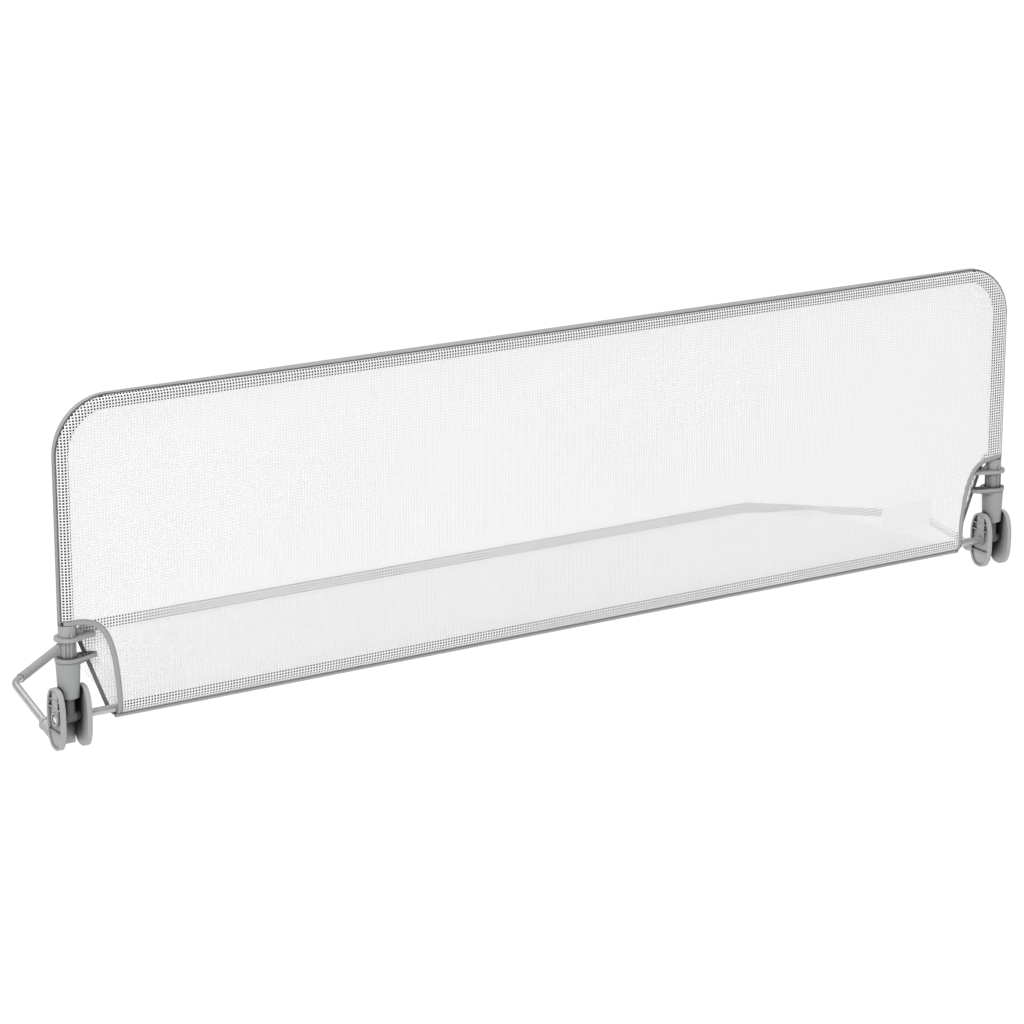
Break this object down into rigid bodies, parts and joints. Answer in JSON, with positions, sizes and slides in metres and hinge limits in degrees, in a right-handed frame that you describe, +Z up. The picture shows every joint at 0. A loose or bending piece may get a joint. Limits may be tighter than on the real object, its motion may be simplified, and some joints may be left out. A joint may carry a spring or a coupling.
{
  "type": "folding bed guard rail",
  "caption": "Mesh bed guard rail with a taped tube hoop that folds down on hinge brackets, on a flat tube frame that slides under a mattress.",
  "frame": {"origin": "middle of the base frame's underside, in the plane that lies on the bed base under the mattress", "axes": "+X along the bed, +Y in under the mattress, +Z up"},
  "size_m": [1.5, 0.3644, 0.44],
  "materials": {
    "moulded_grey": "fine grained mid-grey moulding",
    "spacer_nylon": "smooth turned nylon",
    "tube_steel": "satin silver-grey powder coat",
    "zinc_steel": "bright zinc plate",
    "spring_steel": "drawn wire",
    "white_mesh": "white coated polyester mesh with square holes",
    "grey_tape": "woven grey edge tape",
    "sleeve_cloth": "grey woven sleeve",
    "blank_patch": "plain white printed-label cloth, left blank"
  },
  "bodies": {
    "base": {"base_frame_tube": "tube_steel", "front_rod": "tube_steel", "floor_mesh": "white_mesh", "side_sleeve_left": "sleeve_cloth", "side_sleeve_right": "sleeve_cloth", "outer_cheek_left": "moulded_grey", "outer_cheek_right": "moulded_grey", "inner_cheek_left": "moulded_grey", "inner_cheek_right": "moulded_grey", "bracket_core_left": "moulded_grey", "bracket_core_right": "moulded_grey", "pivot_bolt_left": "zinc_steel", "pivot_bolt_right": "zinc_steel", "outer_pivot_spacer_left": "spacer_nylon", "outer_pivot_spacer_right": "spacer_nylon", "inner_pivot_spacer_left": "spacer_nylon", "inner_pivot_spacer_right": "spacer_nylon", "socket_screw_left": "zinc_steel", "socket_screw_right": "zinc_steel"},
    "rail": {"rail_tube": "tube_steel", "front_mesh": "white_mesh", "back_mesh": "white_mesh", "rail_binding": "grey_tape", "arch_tape_left": "grey_tape", "arch_tape_right": "grey_tape", "corner_tape_left": "grey_tape", "corner_tape_right": "grey_tape", "hem_tape": "grey_tape", "label_patch": "blank_patch", "post_left": "moulded_grey", "post_right": "moulded_grey", "post_rivet_left": "zinc_steel", "post_rivet_right": "zinc_steel", "collar_spring_left": "spring_steel", "collar_spring_right": "spring_steel"},
    "collar_left": {"release_collar_left": "moulded_grey"},
    "collar_right": {"release_collar_right": "moulded_grey"}
  },
  "joints": [
    {"name": "rail_fold", "type": "hinge", "parent": "base", "child": "rail", "pos_m": [0, -0.169, 0.0089], "axis": [1, 0, 0], "range_deg": [0, 180]},
    {"name": "collar_left_slide", "type": "slide", "parent": "rail", "child": "collar_left", "axis": [0, 0, 1], "range_m": [0, 0.02], "stiffness_N_per_m": 150, "springref_m": -0.02, "deforming": ["collar_spring_left"]},
    {"name": "collar_right_slide", "type": "slide", "parent": "rail", "child": "collar_right", "axis": [0, 0, 1], "range_m": [0, 0.02], "stiffness_N_per_m": 150, "springref_m": -0.02, "deforming": ["collar_spring_right"]}
  ]
}
